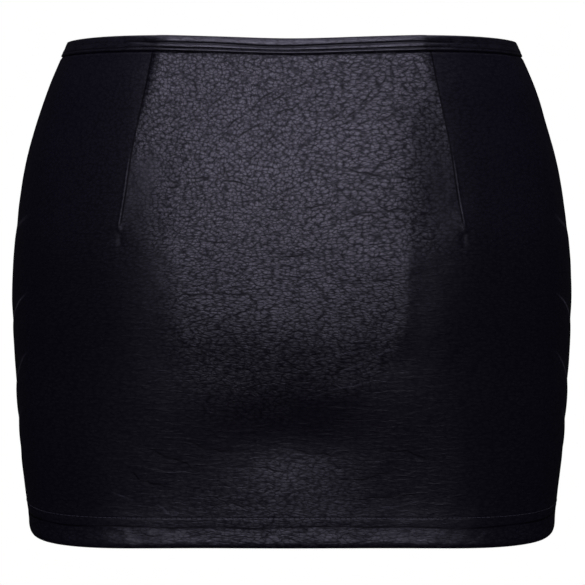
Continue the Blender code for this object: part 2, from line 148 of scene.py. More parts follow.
# Wrinkles of the front: both ends (across from the middle, level), how far the line bows, half its width and
# its depth. A minus depth is a ridge. A trough's line is painted shade, a ridge's painted highlight.
FRONT_WRINKLES = (
    (-53, 66, 2, 19, 2.0, 1.3, 0.20),
    (-47, 72, 24, 33, -3.0, 1.2, 0.20),
    (-60, 50, -28, 22, 1.5, 1.1, 0.14),
    (-36, 83, -4, 52, 2.0, 1.1, 0.16),
    (-22, 46, 20, 24, -2.0, 1.0, 0.13),
    (4, 66, 36, 40, 1.5, 1.2, 0.15),
    (28, 58, 52, 34, -2.0, 1.1, 0.13),
    (40, 40, 62, 20, 1.0, 1.0, 0.11),
    (46, 56, 70, 38, 1.5, 1.0, 0.12),
    (5, 75, 90, 88, 2.5, 1.2, 0.18),
    (-70, 86, -8, 96, -3.0, 1.3, 0.16),
    (-30, 104, 42, 98, 3.0, 1.3, 0.16),
    (14, 114, 84, 106, -3.0, 1.4, 0.17),
    (-78, 118, -22, 124, 3.0, 1.3, 0.15),
    (-34, 138, 38, 132, -2.5, 1.5, 0.15),
    (20, 150, 88, 140, 3.0, 1.4, 0.14),
    (-82, 160, -10, 158, -3.5, 1.5, 0.13),
    (-104, 262, -66, 276, 3.0, 1.2, 0.16),
    (-92, 250, -48, 270, -2.5, 1.1, 0.14),
    (-66, 244, -22, 252, 3.5, 1.3, 0.16),
    (-40, 262, 6, 268, -3.0, 1.2, 0.15),
    (-12, 246, 36, 254, 3.0, 1.2, 0.14),
    (20, 270, 66, 262, 2.5, 1.3, 0.15),
    (48, 250, 96, 262, -3.0, 1.2, 0.14),
    (-58, 282, -8, 284, 2.0, 1.2, 0.13),
    (30, 284, 88, 280, -2.0, 1.1, 0.12),
    (70, 186, 21, 209, 2.0, 1.0, -0.042),
    (60, 207, 6, 220, 1.5, 1.0, -0.034),
    (60, 198, 16, 211, -1.5, 1.0, -0.018),
    (48, 190, 6, 199, 1.5, 1.0, -0.022),
    (66, 216, 44, 222, 1.0, 1.0, -0.018),
    (-103, 289, -90, 298, 1.0, 1.0, -0.035),
    (-84, 284, -66, 293, 1.0, 1.0, -0.045),
    (-62, 280, -44, 286, -1.0, 1.0, -0.035),
    (-112, 276, -96, 283, 1.0, 1.0, -0.030),
    (-96, 268, -80, 274, -1.0, 1.0, -0.030),
    (52, 288, 74, 283, 1.0, 1.0, -0.030),
)


def bell(distance):
    """A soft hump, 1 at no distance."""
    return np.exp(-distance ** 2)


def ease(part):
    """Goes from 0 to 1 with a level start and end."""
    part = np.clip(part, 0, 1)
    return part * part * (3 - 2 * part)


def smooth_through(knots, values, at):
    """A natural cubic curve through a table's values, at many places at once."""
    step = np.diff(knots)
    rise = np.diff(values) / step
    system = np.eye(len(knots))
    load = np.zeros(len(knots))
    for row in range(1, len(knots) - 1):
        system[row, row - 1:row + 2] = (step[row - 1], 2 * (step[row - 1] + step[row]), step[row])
        load[row] = 6 * (rise[row] - rise[row - 1])
    bend = np.linalg.solve(system, load)
    here = np.clip(np.searchsorted(knots, at) - 1, 0, len(knots) - 2)
    past = at - knots[here]
    slope = rise[here] - step[here] * (2 * bend[here] + bend[here + 1]) / 6
    twist = (bend[here + 1] - bend[here]) / (6 * step[here])
    return values[here] + past * (slope + past * (bend[here] / 2 + past * twist))


def within(value, start, stop, fade_in, fade_out):
    """1 between two values, fading in after the first and out before the second."""
    return ease((value - start) / fade_in) * ease((stop - value) / fade_out)


def dart_at(dart, drop):
    """Where a dart's seam, or the line below its tip, runs, and the flattening there."""
    part = (drop - dart["drop_top"]) / (dart["drop_tip"] - dart["drop_top"])
    x = dart["x_top"] + (dart["x_tip"] - dart["x_top"]) * min(part, 1.0)
    x += dart["bow"] * bell((part - DART_BOW["middle"]) / DART_BOW["spread"])
    return x, dart["flatten"] * float(1 - ease(part))


def half_outline(drop):
    """One level, from centre front to centre back, in millimetres.

    Gives x, y, the length along the outline, and the lengths at the landmarks.
    """
    size = {name: float(smooth_through(SECTIONS[:, 0], SECTIONS[:, column], np.array(drop)))
            for column, name in enumerate(SECTION_COLUMNS)}
    angle = np.linspace(0, math.pi, 1601)
    in_front = angle < math.pi / 2
    depth = np.where(in_front, size["front"], size["back"])
    power = np.where(in_front, size["front_power"], size["back_power"])
    across = np.abs(np.sin(angle)) / size["half_width"]
    along = np.abs(np.cos(angle)) / depth
    radius = (across ** power + along ** power) ** (-1 / power)
    x = radius * np.sin(angle)
    y = -radius * np.cos(angle)
    darts = (dart_at(FRONT_DART, drop), dart_at(BACK_DART, drop))
    for front, (dart_x, flatten) in zip((True, False), darts):
        between = (x < dart_x) & (in_front == front)
        pull = flatten * (1 - (x / dart_x) ** FLATTEN_POWER)
        y = np.where(between, y + (pull if front else -pull), y)
    levels, forward = FRONT_MIDDLE.T
    stands_forward = float(smooth_through(levels, forward, np.array(max(drop, levels[0]))))
    y = np.where(in_front, y - stands_forward * bell(x / FRONT_MIDDLE_WIDTH), y)
    run = np.concatenate(([0], np.cumsum(np.hypot(np.diff(x), np.diff(y)))))
    side = int(np.argmax(x))
    slit = np.interp(drop, [level for level, _ in SLIT], [half for _, half in SLIT])
    landmarks = (
        0.0,
        float(np.interp(darts[0][0], x[:side + 1], run[:side + 1])),
        float(np.interp(math.pi / 2, angle, run)),
        float(np.interp(-darts[1][0], -x[side:], run[side:])),
        float(run[-1]) - slit,
    )
    return x, y + size["centre_y"], run, landmarks


def edge_rise(shape, place):
    """How far an edge stands above its level at each place round the skirt."""
    return sum(rise * bell((place - where) / spread) for where, spread, rise in shape)


def lay_out(drops, columns, side):
    """The body's surface: a row for each level and a column for each place round it.

    columns holds a landmark count and a shift along the outline for each column. It
    gives points, outward normals (from neighbours a step away), the levels, and how
    far each point is round the outline from every landmark.
    """
    step = 0.2
    place, shift = columns[:, 0], columns[:, 1]
    sheets = {"middle": [], "up": [], "down": [], "back": [], "on": []}
    from_marks = []
    for drop in drops:
        for name, level in (("middle", drop), ("up", drop - step), ("down", drop + step)):
            x, y, run, landmarks = half_outline(level)
            at = np.interp(place, range(5), landmarks) + shift
            lift = edge_rise(WAIST_EDGE, place) * (1 - ease(level / WAIST_EDGE_ENDS))
            lift += edge_rise(HEM_EDGE, place) * ease((level - HEM_EDGE_STARTS) / (LENGTH - HEM_EDGE_STARTS))
            nudges = (("middle", 0), ("back", -step), ("on", step)) if name == "middle" else ((name, 0),)
            for sheet, nudge in nudges:
                sheets[sheet].append(np.stack([np.interp(at + nudge, run, x), np.interp(at + nudge, run, y),
                                               lift - level], axis=1))
            if name == "middle":
                from_marks.append([at - mark for mark in landmarks])
    points, up, down, back, on = (np.array(sheets[name]) for name in ("middle", "up", "down", "back", "on"))
    outward = np.cross(down - up, on - back)
    outward /= np.linalg.norm(outward, axis=2, keepdims=True)
    flip = np.array((side, 1, 1))
    return {
        "points": points * flip,
        "outward": outward * flip,
        "drop": np.array(drops)[:, None] + np.zeros(len(columns)),
        "side": side,
        "from": np.moveaxis(np.array(from_marks), 1, 0),
    }


class Lines:
    """How far each point is from the plainest line near it, and how plain that line is: the leather's colour
    gets painted shade along creases and troughs, darkens along seams, and gets painted highlight along
    ridges.
    """

    spread = 2.2
    far_off = 9.0

    def __init__(self, shape):
        self.off = np.full(shape, self.far_off)
        self.strength = np.zeros(shape)

    def draw(self, off, strength):
        """Add a line that runs where off is nothing; a minus strength is a ridge's painted highlight."""
        plain = strength * bell(off / self.spread)
        closer = np.abs(plain) > np.abs(self.strength)
        self.off = np.where(closer, off, self.off)
        self.strength = np.where(closer, plain, self.strength)


def uneven(across, drop, size, seed, waves=9):
    """Soft irregular lumps of about this size, from -1 to 1: a sum of slanted waves."""
    draw = np.random.default_rng(seed)
    turns = draw.uniform(0, math.pi, waves)
    stretches = draw.uniform(0.7, 1.6, waves)
    starts = draw.uniform(0, 6.28, waves)
    total = np.zeros_like(across)
    for turn, stretch, start in zip(turns, stretches, starts):
        wave = 2 * math.pi / (size * stretch)
        total += np.sin(wave * (across * math.cos(turn) + drop * math.sin(turn)) + start)
    return total / (waves / 2)


def wrinkle_relief(wrinkles, across, drop, line):
    """Height of wrinkles that fade at their ends; each draws its line too, painted shade along a trough and
    painted highlight along a ridge.
    """
    height = np.zeros_like(across)
    unsteady = 0.7 * uneven(across, drop, 9, 3)
    for x_1, d_1, x_2, d_2, bow, half_width, depth in wrinkles:
        run_x, run_d = x_2 - x_1, d_2 - d_1
        length = math.hypot(run_x, run_d)
        along = ((across - x_1) * run_x + (drop - d_1) * run_d) / length ** 2
        off = ((across - x_1) * run_d - (drop - d_1) * run_x) / length
        off += bow * 4 * along * (1 - along) + 0.5 * np.sin(along * length * 0.31 + x_1) + unsteady
        fade = within(along, 0, 1, 0.3, 0.3) * (0.75 + 0.25 * np.sin(along * 17 + d_1))
        height -= WRINKLE_SHARE * depth * fade * bell(off / half_width)
        line.draw(off, fade * max(min(depth / PLAIN_WRINKLE, 1), -1))
    return height


def puckers(size, drop, outer, tip, slant):
    """Small ripples in a strip beside a dart; slant moves them along it."""
    strip = within(drop, size["from"], tip + size["past_tip"], 20, size["fade"])
    strip *= bell((outer - size["off"]) / size["half_width"])
    return size["rise"] * strip * np.sin(2 * math.pi * (drop + slant) / size["pitch"])


def dart_relief(form, line):
    """Height along and beside the darts; each draws its seam as far as the tip."""
    drop, side = form["drop"], form["side"]
    height = np.zeros_like(drop)
    for dart, off, outward in ((FRONT_DART, form["from"][1], 1), (BACK_DART, form["from"][3], -1)):
        outer, tip = outward * off, dart["drop_tip"]
        line.draw(off, ease((tip - drop) / 6))
        inward = np.maximum(-outer, 0)
        low = within(drop, DART_RIDGE["from"], tip + DART_RIDGE["past_tip"], 45, 16)
        if side > 0:
            low *= 0.2 + 0.6 * ease((drop - 95) / 20)
        height += DART_RIDGE["rise"] * low * (1 - ease(np.abs(outer) / DART_RIDGE["reach"]))
        height -= DART_RIDGE["turn"] * low * inward * np.exp(-inward / DART_RIDGE["spread"])
        for turns in DART_TURNS:
            turn, spread, fades_from, fades_over = turns[side]
            height -= turn * inward * np.exp(-inward / spread) * (1 - ease((drop - fades_from) / fades_over))
        lip = bell((outer - DART_LIP["off"]) / DART_LIP["half_width"])
        height += DART_LIP["rise"] * lip * within(drop, DART_LIP["from"], tip + 1, 20, 3)
        from_knot = np.hypot(off - DART_KNOT["off"], drop - tip)
        height += DART_KNOT["rise"] * bell(from_knot / DART_KNOT["half_width"])
        dimple = bell((drop - tip - DART_DIMPLE["below_tip"]) / DART_DIMPLE["half_length"])
        height -= DART_DIMPLE["depth"] * dimple * bell(off / DART_DIMPLE["half_width"])
        height += puckers(INNER_PUCKERS, drop, outer, tip, 1.5 * np.sin(off * 0.45))
        height += puckers(OUTER_PUCKERS, drop, outer, tip, -0.35 * outer)
    return height


def side_crease_relief(form, line):
    """Height of the pull creases by a side seam; each draws a line of painted highlight along the ridge
    below it.
    """
    drop, from_side = form["drop"], form["from"][2]
    in_front = from_side < 0
    from_seam = np.abs(from_side)
    height = np.zeros_like(drop)
    for level, reach, rise, depth, half_width, ridge_width, ridge_painted_highlight in SIDE_CREASES:
        along = from_seam / reach
        below = drop - level + rise * along + 0.45 * np.sin(from_seam * 0.19 + level)
        below += np.where(in_front, 0, 9 + 4 * math.sin(level))
        height -= depth * within(along, 0, 1.2, 0.35, 0.6) * bell(below / half_width)
        # Painted highlight along the ridge, weaker at the back.
        shine = ridge_painted_highlight * np.where(in_front, 1, BACK_RIDGE_PAINTED_HIGHLIGHT) * within(along, 0, 1.35, 0.30, 0.6)
        line.draw((below - 0.8 * half_width) / ridge_width, -shine)
    return height


def hem_crease(across, drop):
    """The wandering crease in the hem: its height over the edge, and over each point."""
    crease = HEM_CREASE + 0.5 * np.sin(across / 23) + 0.35 * np.sin(across / 9.7)
    return crease, crease - (LENGTH - drop)


def hem_relief(across, drop, seed, line):
    """Height of the hem's band; its crease and its stitches draw their lines of painted shade."""
    above_edge = LENGTH - drop
    crease, below = hem_crease(across, drop)
    sunk = np.clip((HEM_STITCH - above_edge) / (HEM_STITCH - crease), 0, 1) ** 2
    raised = np.clip(below / 9.0, 0, 1) ** 2
    height = (HEM_RAISE + HEM_SINK) * raised - HEM_SINK * sunk
    height += 0.14 * ease(below / 4) * ease(above_edge / 2) * uneven(across, drop * 1.4, 14, seed)
    height -= 0.10 * bell((above_edge - HEM_STITCH - 0.2) / 0.5)
    line.draw(-below, 0.8 + 0.2 * np.sin(across / 6))
    line.draw(1.5 * (above_edge - HEM_STITCH), 0.7)
    return height


def beyond_belly(across, drop):
    """How far a point lies outside the belly's rounded outline."""
    beside = np.abs(across) / BELLY["half_width"]
    under = np.maximum(drop - BELLY["top"], 0) / BELLY["length"]
    return ((beside ** 4 + under ** 4) ** 0.25 - 1) * BELLY["half_width"]


def belly_relief(form, across):
    """Height of the fold beside and under the belly, less the sag beside the left dart."""
    drop, beyond = form["drop"], beyond_belly(across, form["drop"])
    fold = BELLY_FOLD["rise"] * (1 if form["side"] > 0 else BELLY_FOLD["right_share"])
    fold = fold * ease((drop - 112) / 30) * (1 - 0.8 * ease((drop - 178) / 24))
    away = np.hypot(beyond, BELLY_FOLD["round"]) - BELLY_FOLD["round"]
    fold *= np.exp(-away / np.where(beyond < 0, BELLY_FOLD["inside"], BELLY_FOLD["outside"]))
    sag = LEFT_SAG["depth"] * within(drop, LEFT_SAG["from"], LEFT_SAG["to"], 25, 30)
    return fold - sag * ease((across - LEFT_SAG["across"]) / LEFT_SAG["width"])


def calm_share(form, across):
    """Where the grain lies calm, 0 to 1: past the darts, below the belly, at the sides.

    The back is half calm, and the middle of the hem lively again.
    """
    drop, from_dart = form["drop"], form["from"][1]
    outside_dart = np.where(drop < FRONT_DART["drop_tip"], ease((from_dart + 1) / 3), 0)
    inside_dart = 0.85 * ease((from_dart + 26) / 16) * ease((drop - 62) / 22)
    past_belly = ease((beyond_belly(across, drop) + 8) / (14 if form["side"] > 0 else 26))
    past_belly *= ease((drop - 120) / 20)
    at_side = ease((np.abs(across) - 104) / 12)
    calm = np.maximum.reduce([outside_dart, inside_dart, past_belly, at_side])
    calm = np.where(form["from"][2] < 0, calm, 0.5)
    lower = ease((drop - 258) / 24)
    calm *= 1 - 0.75 * bell((across - 8 + 18 * lower) / (34 + 18 * lower)) * ease((drop - 245) / 18)
    _, below_crease = hem_crease(across, drop)
    return calm * (1 - 0.15 * ease(below_crease / 2))


MARKS = ("off_line", "line_strength", "calm")


def body_relief(form, wrinkles, seed):
    """Height of darts, creases, wrinkles and hem above the body, and the MARKS they leave."""
    drop = form["drop"]
    from_front, _, from_side, _, from_back = form["from"]
    in_front = from_side < 0
    across = form["side"] * np.where(in_front, from_front, -from_back)
    line = Lines(drop.shape)
    height = dart_relief(form, line) + side_crease_relief(form, line)
    height += wrinkle_relief(wrinkles, across, drop, line)
    height += 0.22 * uneven(across, drop, 46, seed) * ease(drop / 40)
    height += 0.05 * uneven(across, drop, 15, seed + 1)
    height -= 0.45 * bell(from_side / 1.3)
    height += hem_relief(across, drop, seed + 2, line)
    height += in_front * belly_relief(form, across)
    return height, np.stack([line.off, line.strength, calm_share(form, across)], axis=2)


def quads(grid):
    """Faces between the neighbouring rows and columns of a grid of point numbers."""
    return np.stack([grid[:-1, :-1], grid[1:, :-1], grid[1:, 1:], grid[:-1, 1:]], axis=-1).reshape(-1, 4)


def going_round(side):
    """The order of a half's columns in a row that goes on round the skirt."""
    return slice(None, None, -1) if side < 0 else slice(None)


def in_scene(name, data):
    """A new object at the origin, in the scene."""
    piece = bpy.data.objects.new(name, data)
    bpy.context.scene.collection.objects.link(piece)
    return piece


def cloth_mesh(name, points, faces, flat, marks):
    """A smooth mesh with its flat pattern as UV, and a number a point for each mark."""
    mesh = bpy.data.meshes.new(name)
    mesh.from_pydata((points.reshape(-1, 3) * MM).tolist(), [], [[int(at) for at in face] for face in faces])
    mesh.polygons.foreach_set("use_smooth", np.ones(len(mesh.polygons), dtype=bool))
    corner = np.empty(len(mesh.loops), dtype=np.int32)
    mesh.loops.foreach_get("vertex_index", corner)
    mesh.uv_layers.new(name="flat").data.foreach_set("uv", (flat.reshape(-1, 2) * MM)[corner].ravel())
    for label, values in marks.items():
        mesh.attributes.new(label, "FLOAT", "POINT").data.foreach_set("value", values.ravel())
    return mesh


def ring_wall(name, forms, outs_of, inner_every, materials):
    """A closed wall swept round the skirt, from matching rows of outer and inner points.

    outs_of turns a form into the outer and the inner distance off the body at each
    point, and its MARKS. Inner rows use every inner_every-th outer row.
    """
    outer, inner, marks, flats = [], [], [], []
    for form in forms:
        outer_off, inner_off, marked = outs_of(form)
        order = going_round(form["side"])
        outer.append((form["points"] + form["outward"] * outer_off[:, :, None])[:, order])
        inner.append((form["points"] + form["outward"] * inner_off[:, :, None])[::inner_every, order])
        marks.append(marked[:, order])
        flats.append(np.stack([form["side"] * form["flat"], -form["drop"]], axis=2)[:, order])
    outer, inner, marks, flat = (np.concatenate(part, axis=1) for part in (outer, inner, marks, flats))
    outer_at = np.arange(outer.shape[0] * outer.shape[1]).reshape(outer.shape[:2])
    inner_at = outer_at.size + np.arange(inner.shape[0] * inner.shape[1]).reshape(inner.shape[:2])
    outside, inside = quads(outer_at).tolist(), quads(inner_at)[:, ::-1].tolist()
    rims = []
    for j in range(outer.shape[1] - 1):
        rims.append([outer_at[0, j], outer_at[0, j + 1], inner_at[0, j + 1], inner_at[0, j]])
        rims.append([outer_at[-1, j + 1], outer_at[-1, j], inner_at[-1, j], inner_at[-1, j + 1]])
    for i in range(inner.shape[0] - 1):
        span = slice(i * inner_every, (i + 1) * inner_every + 1)
        rims.append([inner_at[i + 1, 0], inner_at[i, 0], *outer_at[span, 0]])
        rims.append([inner_at[i, -1], inner_at[i + 1, -1], *outer_at[span, -1][::-1]])
    points = np.concatenate([outer.reshape(-1, 3), inner.reshape(-1, 3)])
    flat = np.concatenate([flat.reshape(-1, 2), flat[::inner_every].reshape(-1, 2)])
    unmarked = np.zeros(inner_at.size)
    marks = {label: np.concatenate([marks[:, :, k].ravel(), unmarked]) for k, label in enumerate(MARKS)}
    mesh = cloth_mesh(name, points, outside + inside + rims, flat, marks)
    for material in materials:
        mesh.materials.append(material)
    which = np.repeat(np.array((0, 1, 0), dtype=np.int32), (len(outside), len(inside), len(rims)))
    mesh.polygons.foreach_set("material_index", which)
    mesh.update()
    mesh.set_sharp_from_angle(angle=math.radians(50))
    return in_scene(name, mesh)


CLOSE_REACH = 7.0
HIP_LEVEL = 110


def spaced(first, last, spacing, close_to=()):
    """Numbers from the first to the last, four times as close together near some values."""
    values = [first]
    while values[-1] < last:
        near = min((abs(values[-1] - value) for value in close_to), default=CLOSE_REACH)
        values.append(values[-1] + spacing * (0.25 + 0.75 * float(ease(near / CLOSE_REACH))))
    scale = (last - first) / (values[-1] - first)
    return [first + (value - first) * scale for value in values]


def landmark_columns(ends, spacing):
    """Columns spaced evenly between two landmarks at the hips, and closer by a dart.

    Each has its landmark count and its shift along the outline, which is nothing here.
    """
    lengths = half_outline(HIP_LEVEL)[3]
    start, stop = np.interp(ends, range(5), lengths)
    darts = [lengths[mark] for mark in (1, 3) if start - 1 < lengths[mark] < stop + 1]
    place = np.interp(spaced(start, stop, spacing, darts), lengths, range(5))
    place[0], place[-1] = ends
    return np.stack([place, np.zeros(len(place))], axis=1)


class Wire:
    """What comes out of a node; sums of wires add the nodes that work them out."""

    def __init__(self, socket):
        self.socket = socket
        self.tree = socket.id_data

    def __add__(self, other):
        return maths("ADD", self, other)

    def __sub__(self, other):
        return maths("SUBTRACT", self, other)

    def __rsub__(self, other):
        return maths("SUBTRACT", other, self)

    def __mul__(self, other):
        return maths("MULTIPLY", self, other)

    def __rtruediv__(self, other):
        return maths("DIVIDE", other, self)


def fill(node, inputs):
    """Link or set a node's inputs, by name or number."""
    for name, value in inputs.items():
        if isinstance(value, Wire):
            node.id_data.links.new(value.socket, node.inputs[name])
        else:
            node.inputs[name].default_value = value


def made(tree, kind, output=0, inputs=None, **settings):
    """Add a node and give one of its outputs, or all by name where output is None."""
    node = tree.nodes.new(kind)
    for name, value in settings.items():
        setattr(node, name, value)
    fill(node, inputs or {})
    if output is None:
        return {socket.name: Wire(socket) for socket in node.outputs}
    return Wire(node.outputs[output])


def maths(operation, *values):
    """One Math node's result."""
    tree = next(value.tree for value in values if isinstance(value, Wire))
    return made(tree, "ShaderNodeMath", inputs=dict(enumerate(values)), operation=operation)


def vectors(operation, first, second):
    """One Vector Math node's result."""
    inputs = {0: first, "Scale" if operation == "SCALE" else 1: second}
    return made(first.tree, "ShaderNodeVectorMath", inputs=inputs, operation=operation)


def ramp(value, low, high, to_low=0.0, to_high=1.0):
    """Map a value smoothly from one range to another."""
    inputs = {"Value": value, "From Min": low, "From Max": high, "To Min": to_low, "To Max": to_high}
    return made(value.tree, "ShaderNodeMapRange", "Result", inputs, interpolation_type="SMOOTHSTEP")


def blended(share, first, second):
    """A mix of two colours, with a share of the second."""
    return made(share.tree, "ShaderNodeMix", 2, {"Factor": share, 6: first, 7: second}, data_type="RGBA")


def noise(place, scale, detail, **inputs):
    """A noise texture's outputs."""
    inputs.update({"Vector": place, "Scale": scale, "Detail": detail})
    return made(place.tree, "ShaderNodeTexNoise", None, inputs)


def cells(place, scale, feature):
    """The outputs of a pattern of irregular flat cells."""
    inputs = {"Vector": place, "Scale": scale, "Randomness": 1.0}
    return made(place.tree, "ShaderNodeTexVoronoi", None, inputs, feature=feature, voronoi_dimensions="2D")


def pushed(place, by, how_far):
    """A place pushed about by a noise's colour."""
    push = vectors("SCALE", vectors("SUBTRACT", by["Color"], (0.5, 0.5, 0.5)), how_far)
    return vectors("ADD", place, push)


def stretched(place, scale):
    """A place drawn out along its axes."""
    return made(place.tree, "ShaderNodeMapping", inputs={"Vector": place, "Scale": scale})


def bump(height, strength, distance):
    """A normal from a height."""
    inputs = {"Height": height, "Strength": strength, "Distance": distance}
    return made(height.tree, "ShaderNodeBump", inputs=inputs)


def effect_group(name, inputs, outputs):
    """A shader node group whose effect is still to be made, with its named sockets.

    An input without a default is a place. All others, and all outputs, are numbers.
    """
    tree = bpy.data.node_groups.new(name, "ShaderNodeTree")
    for label, default in inputs.items():
        kind = "NodeSocketVector" if default is None else "NodeSocketFloat"
        socket = tree.interface.new_socket(label, in_out="INPUT", socket_type=kind)
        if default is not None:
            socket.default_value = default
    for label in outputs:
        tree.interface.new_socket(label, in_out="OUTPUT", socket_type="NodeSocketFloat")
    return tree, made(tree, "NodeGroupInput", None)


def leather_grain():
    """Pebbled grain, in millimetres: small domes with fine valleys between them."""
    inputs = {"Place": None, "Pebble": 3.0, "Warp": 3.0, "Start": None}
    tree, given = effect_group("leather grain", inputs, ("Height", "Dome", "Valley", "Tone"))
    start = vectors("ADD", given["Place"], given["Start"])
    bend = noise(start, 0.13, 2.0, Roughness=0.6)
    moved = pushed(start, bend, given["Warp"])
    scale = 1.0 / given["Pebble"]
    pebbles = cells(moved, scale, "F1")
    big = ramp(pebbles["Distance"], 0.05, 0.75, 1.0, 0.0)
    small = ramp(cells(moved, scale * 1.8, "F1")["Distance"], 0.05, 0.60, 1.0, 0.0)
    dome = big * 0.65 + small * 0.35
    fine = ramp(cells(moved, scale * 1.8, "DISTANCE_TO_EDGE")["Distance"], 0.0, 0.10, 0.35, 0.0)
    edge = ramp(cells(moved, scale, "DISTANCE_TO_EDGE")["Distance"], 0.0, 0.13, 1.0, 0.0)
    valley = maths("MAXIMUM", edge, fine) * ramp(bend["Fac"], 0.36, 0.62, 0.7, 1.1)
    tone = made(tree, "ShaderNodeSeparateColor", inputs={"Color": pebbles["Color"]})
    fill(tree.nodes.new("NodeGroupOutput"),
         {"Height": dome - valley * 0.5, "Dome": dome, "Valley": valley, "Tone": tone})
    return tree


def wrinkle_net():
    """Fine wrinkles that run mostly one way, as where leather has been pulled and bent."""
    inputs = {"Place": None, "Angle": 0.0, "Spacing": 5.0, "Stretch": 3.0, "Width": 0.07, "Share": 0.5}
    tree, given = effect_group("wrinkle net", inputs, ("Line",))
    turned = made(tree, "ShaderNodeVectorRotate", inputs={"Vector": given["Place"], "Angle": given["Angle"]},
                  rotation_type="Z_AXIS")
    moved = pushed(turned, noise(turned, 0.09, 3.0, Roughness=0.6), 7.0)
    squeeze = made(tree, "ShaderNodeCombineXYZ", inputs={"X": 1.0 / given["Stretch"], "Y": 1.0, "Z": 1.0})
    net = cells(vectors("MULTIPLY", moved, squeeze), 1.0 / given["Spacing"], "DISTANCE_TO_EDGE")
    line = ramp(net["Distance"], 0.0, given["Width"], 1.0, 0.0)
    shown_from = (1.0 - given["Share"]) * 0.9
    shown = ramp(noise(given["Place"], 0.055, 2.0)["Fac"], shown_from, shown_from + 0.15)
    fill(tree.nodes.new("NodeGroupOutput"), {"Line": line * shown})
    return tree


def effect(tree, group, **inputs):
    """The outputs of an effect group that is put in a material with its own values."""
    return made(tree, "ShaderNodeGroup", None, inputs, node_tree=group)


def mark(tree, name):
    """One of the numbers that a mesh's points carry."""
    return made(tree, "ShaderNodeAttribute", "Fac", attribute_name=name)


def place_on_pattern(tree):
    """A place on the piece's own flat pattern, in millimetres."""
    return vectors("SCALE", made(tree, "ShaderNodeUVMap", uv_map="flat"), 1000.0)


def across_and_up(place):
    """The two parts of a place on a pattern."""
    parts = made(place.tree, "ShaderNodeSeparateXYZ", None, {"Vector": place})
    return parts["X"], parts["Y"]


def place_on_piece(tree):
    """A place on the piece, in metres."""
    return made(tree, "ShaderNodeTexCoord", "Object")


def new_material(name):
    """A material with its Principled shader and nothing else but the output."""
    material = bpy.data.materials.new(name)
    material.use_nodes = True
    return material, material.node_tree, material.node_tree.nodes["Principled BSDF"]


GRAIN = leather_grain()
NET = wrinkle_net()
LEATHER_BLACK = (0.0012, 0.0010, 0.0026, 1)
# A lighter black painted on the pebbles' tops as painted highlight, varying at random with each pebble's
# tone.
LEATHER_PAINTED_HIGHLIGHT = (0.0046, 0.0041, 0.0066, 1)
# A darker black painted into the grain's valleys, wrinkles and creases as painted shade, and along seams.
LEATHER_PAINTED_SHADE = (0.0006, 0.0005, 0.0012, 1)
# A grey painted along the ridges of creases and wrinkles as painted highlight.
LEATHER_PAINTED_RIDGE_HIGHLIGHT = (0.060, 0.057, 0.066, 1)
BODY_GRAIN = {"Pebble": 2.25, "Warp": 5.0, "Start": (400.0, 90.0, 0.0)}
SLANTED_NET = {"Angle": -0.62, "Spacing": 3.6, "Stretch": 4.6, "Width": 0.07, "Share": 0.50}
LEVEL_NET = {"Angle": 0.10, "Spacing": 3.7, "Stretch": 4.4, "Width": 0.11, "Share": 0.85}
FLESH_SIDE_GREYS = ((0.018, 0.017, 0.020, 1), (0.062, 0.058, 0.062, 1))


